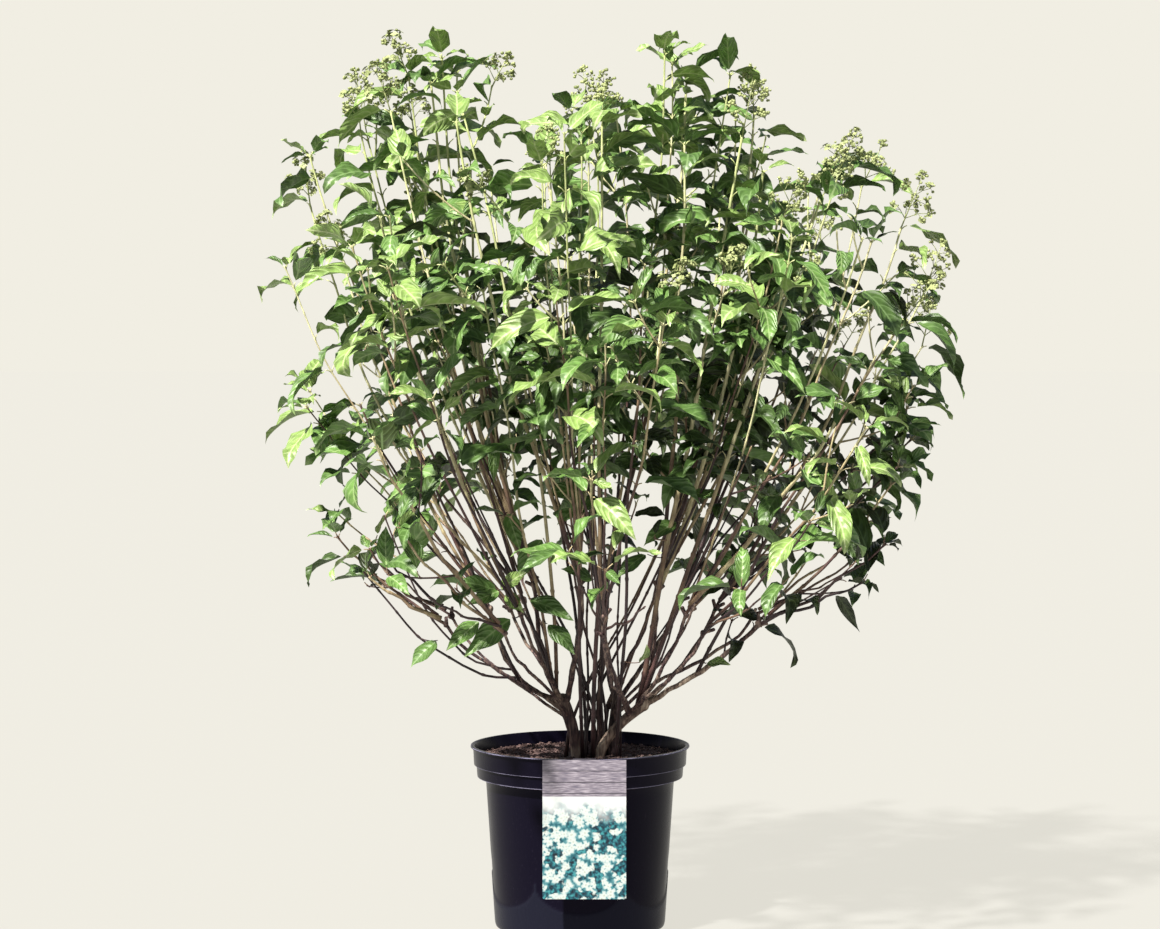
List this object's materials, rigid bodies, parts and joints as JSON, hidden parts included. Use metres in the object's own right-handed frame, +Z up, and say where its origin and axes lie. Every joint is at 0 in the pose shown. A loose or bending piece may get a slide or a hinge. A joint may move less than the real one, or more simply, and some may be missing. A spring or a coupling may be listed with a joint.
{
  "type": "potted shrub",
  "caption": "Leafy flowering shrub in a round nursery pot filled with compost, with short trunks, spreading boughs, upright canes and a picture label hung on the rim.",
  "frame": {"origin": "centre of the flat underside of the pot, on the ground", "axes": "+Z up along the pot's axis, +Y from the side with the picture label to the back, +X to the right of someone who looks at the label"},
  "size_m": [1.1269, 1.0477, 1.3722],
  "materials": {
    "pot_plastic": "satin",
    "compost": "matte",
    "label_card": "satin",
    "old_bark": "matte",
    "foliage_green": "satin"
  },
  "bodies": {
    "root": {"bough_inner_1": "old_bark", "bough_inner_2": "old_bark", "bough_inner_3": "old_bark", "bough_inner_4": "old_bark", "bough_inner_5": "old_bark", "bough_middle_1": "old_bark", "bough_middle_2": "old_bark", "bough_middle_3": "old_bark", "bough_middle_4": "old_bark", "bough_middle_5": "old_bark", "bough_middle_6": "old_bark", "bough_middle_7": "old_bark", "bough_middle_8": "old_bark", "bough_outer_1": "old_bark", "bough_outer_10": "old_bark", "bough_outer_2": "old_bark", "bough_outer_3": "old_bark", "bough_outer_4": "old_bark", "bough_outer_5": "old_bark", "bough_outer_6": "old_bark", "bough_outer_7": "old_bark", "bough_outer_8": "old_bark", "bough_outer_9": "old_bark", "bough_top": "old_bark", "compost": "compost", "foliage_inner_1": "foliage_green", "foliage_inner_2": "foliage_green", "foliage_inner_3": "foliage_green", "foliage_inner_4": "foliage_green", "foliage_inner_5": "foliage_green", "foliage_middle_1": "foliage_green", "foliage_middle_2": "foliage_green", "foliage_middle_3": "foliage_green", "foliage_middle_4": "foliage_green", "foliage_middle_5": "foliage_green", "foliage_middle_6": "foliage_green", "foliage_middle_7": "foliage_green", "foliage_middle_8": "foliage_green", "foliage_outer_1": "foliage_green", "foliage_outer_10": "foliage_green", "foliage_outer_2": "foliage_green", "foliage_outer_3": "foliage_green", "foliage_outer_4": "foliage_green", "foliage_outer_5": "foliage_green", "foliage_outer_6": "foliage_green", "foliage_outer_7": "foliage_green", "foliage_outer_8": "foliage_green", "foliage_outer_9": "foliage_green", "foliage_top": "foliage_green", "label": "label_card", "pot": "pot_plastic", "trunk_left": "old_bark", "trunk_rear": "old_bark", "trunk_right": "old_bark"}
  },
  "joints": []
}
